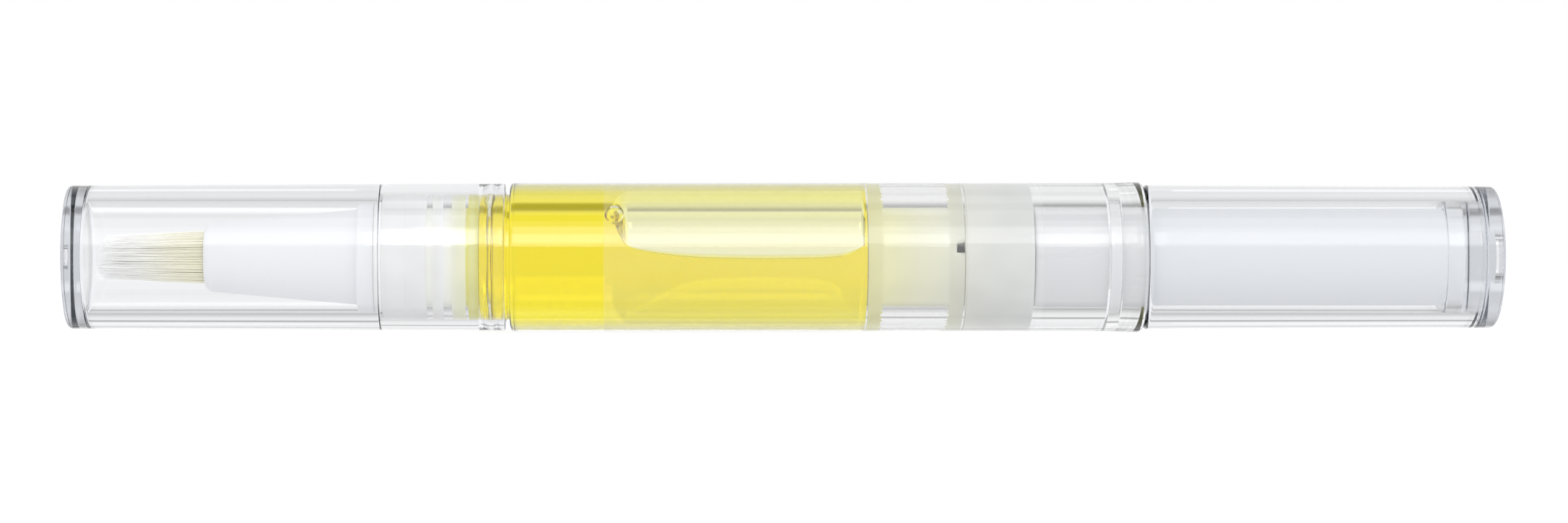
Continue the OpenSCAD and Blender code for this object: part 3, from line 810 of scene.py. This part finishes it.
# %% Floor
FLOOR_SIZE = 6
FLOOR_GLOW = 0.78
FLOOR_MATT = (0.92, 0.92, 0.92, 1)
FLOOR_FAINT = (0.3, 0.3, 0.3, 1)


def make_floor():
    bm = bmesh.new()
    bmesh.ops.create_grid(bm, x_segments=1, y_segments=1, size=FLOOR_SIZE)
    mesh = bpy.data.meshes.new("floor")
    bm.to_mesh(mesh)
    bm.free()
    floor = bpy.data.objects.new("floor", mesh)
    scene.collection.objects.link(floor)
    finish = bpy.data.materials.new("floor")
    finish.use_nodes = True
    tree = finish.node_tree
    tree.nodes.clear()
    out = tree.nodes.new("ShaderNodeOutputMaterial")
    rays = tree.nodes.new("ShaderNodeLightPath")
    matt = tree.nodes.new("ShaderNodeBsdfDiffuse")
    matt.inputs["Color"].default_value = FLOOR_MATT
    faint = tree.nodes.new("ShaderNodeBsdfDiffuse")
    faint.inputs["Color"].default_value = FLOOR_FAINT
    glow = tree.nodes.new("ShaderNodeEmission")
    glow.inputs["Strength"].default_value = FLOOR_GLOW
    both = tree.nodes.new("ShaderNodeAddShader")
    pick = tree.nodes.new("ShaderNodeMixShader")
    tree.links.new(faint.outputs[0], both.inputs[0])
    tree.links.new(glow.outputs[0], both.inputs[1])
    tree.links.new(rays.outputs["Is Camera Ray"], pick.inputs["Fac"])
    tree.links.new(matt.outputs[0], pick.inputs[1])
    tree.links.new(both.outputs[0], pick.inputs[2])
    tree.links.new(pick.outputs[0], out.inputs["Surface"])
    mesh.materials.append(finish)
    floor.visible_diffuse = False
    floor.visible_shadow = False
    floor.visible_glossy = False
    floor.visible_transmission = False


make_floor()

# %% [markdown]
# The world is plain white to the camera. What lights the pen, and what shows in its clear
# plastic, is a studio that is drawn as a ring round the pen's axis. The angle runs from the
# camera's side, 0 degrees, over the top at 90 and the back at 180 to the table at 270. The gaps
# between the lights are dark, which draws the grey lines into clear plastic. Each list holds marks
# of an angle and a brightness, and a colour ramp runs through them.

# %% Round of lights
STUDIO = [
    (0, 0.8), (18, 0.8), (22, 1.12), (76, 1.08), (79, 0.1), (91, 0.1), (95, 1.1), (110, 0.95),
    (113, 0.45), (119, 0.45), (124, 0.66), (138, 0.96), (145, 0.96), (152, 0.92), (163, 0.94),
    (171, 0.98), (186, 1.0), (197, 1.04), (204.5, 1.02), (206.5, 0.5), (211.5, 0.5),
    (213.5, 1.0), (224, 0.94), (232, 0.74), (241, 0.5), (245, 0.7), (250, 0.35), (257, 0.35),
    (263, 0.75), (310, 0.75), (340, 0.8), (360, 0.8)]
SOFTBOX = [(0, 0), (20.8, 0), (21.8, 3.0), (46, 2.4), (50, 0), (360, 0)]
RIM_LIGHTS = [
    (0, 0), (159, 0), (161, 0.3), (165, 0.3), (167.5, 0), (193.5, 0), (195.5, 0.14), (198, 0.14),
    (200, 0), (360, 0)]

world = bpy.data.worlds.new("studio")
scene.world = world
world.use_nodes = True
tree = world.node_tree
tree.nodes.clear()
coords = tree.nodes.new("ShaderNodeTexCoord")
split = tree.nodes.new("ShaderNodeSeparateXYZ")
tree.links.new(coords.outputs["Generated"], split.inputs["Vector"])


def math_node(operation, first, second=None, third=None):
    node = tree.nodes.new("ShaderNodeMath")
    node.operation = operation
    for socket, value in zip(node.inputs, (first, second, third)):
        if isinstance(value, (int, float)):
            socket.default_value = value
        elif value is not None:
            tree.links.new(value, socket)
    return node.outputs["Value"]


def background(color, strength):
    light = tree.nodes.new("ShaderNodeBackground")
    light.inputs["Color"].default_value = color
    light.inputs["Strength"].default_value = strength
    return light


def ring_light(turn, marks):
    """Background whose brightness runs through marks of (degrees round the axis, value)."""
    brightest = max(value for angle, value in marks)
    ring = tree.nodes.new("ShaderNodeValToRGB")
    points = ring.color_ramp.elements
    points[1].position = 1.0
    for angle, value in marks[1:-1]:
        points.new(angle / 360)
    for point, (angle, value) in zip(points, marks):
        point.color = [value / brightest] * 3 + [1]
    light = background((1, 1, 1, 1), brightest)
    tree.links.new(turn, ring.inputs["Fac"])
    tree.links.new(ring.outputs["Color"], light.inputs["Color"])
    return light


towards_camera = math_node("MULTIPLY", split.outputs["Y"], -1)
round_axis = math_node("ARCTAN2", split.outputs["Z"], towards_camera)
turn = math_node("FRACT", math_node("DIVIDE", round_axis, math.tau))
studio = ring_light(turn, STUDIO)
softbox = ring_light(turn, SOFTBOX)
rim_lights = ring_light(turn, RIM_LIGHTS)
print("studio marks:", len(STUDIO))

# %% [markdown]
# The lights aren't as long as the room. The softbox stands in front above the camera, at full
# brightness before the barrel and dimmed beside it. Two thin lights at the back show in the cap
# and the knob alone. Far to the left and right there is one plain bright wall, which gives more
# than half of the soft light on the white pieces.

# %% Lengths of the lights
BARREL_MIDDLE = 0.03
BARREL_REACH = 0.088
SOFTBOX_REACH = 0.27
SOFTBOX_DIMMED = 0.38
END_REACH = 0.3
END_LIGHT = 1.06
END_COLOR = (0.97, 0.98, 1.0, 1)

aside = math_node("ABSOLUTE", math_node("SUBTRACT", split.outputs["X"], BARREL_MIDDLE))
beyond_barrel = math_node("GREATER_THAN", aside, BARREL_REACH)
within_softbox = math_node("LESS_THAN", aside, SOFTBOX_REACH)
full = softbox.inputs["Strength"].default_value
dimmed = math_node("MULTIPLY_ADD", beyond_barrel, (SOFTBOX_DIMMED - 1) * full, full)
tree.links.new(math_node("MULTIPLY", within_softbox, dimmed), softbox.inputs["Strength"])
rim_strength = rim_lights.inputs["Strength"].default_value
tree.links.new(math_node("MULTIPLY", beyond_barrel, rim_strength), rim_lights.inputs["Strength"])
at_end = math_node("GREATER_THAN", math_node("ABSOLUTE", split.outputs["X"]), END_REACH)

# %% Join the lights


def join(kind, first, second, share=None):
    """Adds two lights, or picks the second where the share is 1."""
    node = tree.nodes.new(kind)
    if share is not None:
        tree.links.new(share, node.inputs["Fac"])
    for socket, light in zip(node.inputs[-2:], (first, second)):
        tree.links.new(light.outputs[0], socket)
    return node


rays = tree.nodes.new("ShaderNodeLightPath")
front = join("ShaderNodeAddShader", softbox, rim_lights)
middle = join("ShaderNodeAddShader", studio, front)
end_walls = background(END_COLOR, END_LIGHT)
white = background((1, 1, 1, 1), 1.0)
room = join("ShaderNodeMixShader", middle, end_walls, at_end)
seen = join("ShaderNodeMixShader", room, white, rays.outputs["Is Camera Ray"])
out = tree.nodes.new("ShaderNodeOutputWorld")
tree.links.new(seen.outputs[0], out.inputs["Surface"])
print("world nodes:", len(tree.nodes))

# %% [markdown]
# ## Camera
#
# The photograph looks at the pen square on from about 36 cm, with the lens level with the axis.
# The camera stands left of the middle, so the frame is shifted to the right by a tenth. Light is
# followed through more walls than by default, because it crosses up to a dozen of them here.

# %% Camera
PHOTO_WIDTH = 2172
FOCAL_PX = 5850
FOOT_PX = 870
CAMERA_X = -0.0129
CAMERA_AWAY = 0.357
CAMERA_DROP = 0.00037

lens = bpy.data.cameras.new("camera")
lens.sensor_width = 36
lens.lens = FOCAL_PX / PHOTO_WIDTH * lens.sensor_width
lens.shift_x = (PHOTO_WIDTH / 2 - FOOT_PX) / PHOTO_WIDTH
lens.clip_start = 0.01
lens.clip_end = 20
camera = bpy.data.objects.new("camera", lens)
scene.collection.objects.link(camera)
camera.location = (CAMERA_X, -CAMERA_AWAY, AXIS_Z - CAMERA_DROP)
camera.rotation_euler = (math.radians(90), 0, 0)
scene.camera = camera
scene.view_settings.view_transform = "Standard"
scene.cycles.max_bounces = 32
scene.cycles.transmission_bounces = 32
scene.cycles.glossy_bounces = 24
scene.cycles.diffuse_bounces = 8
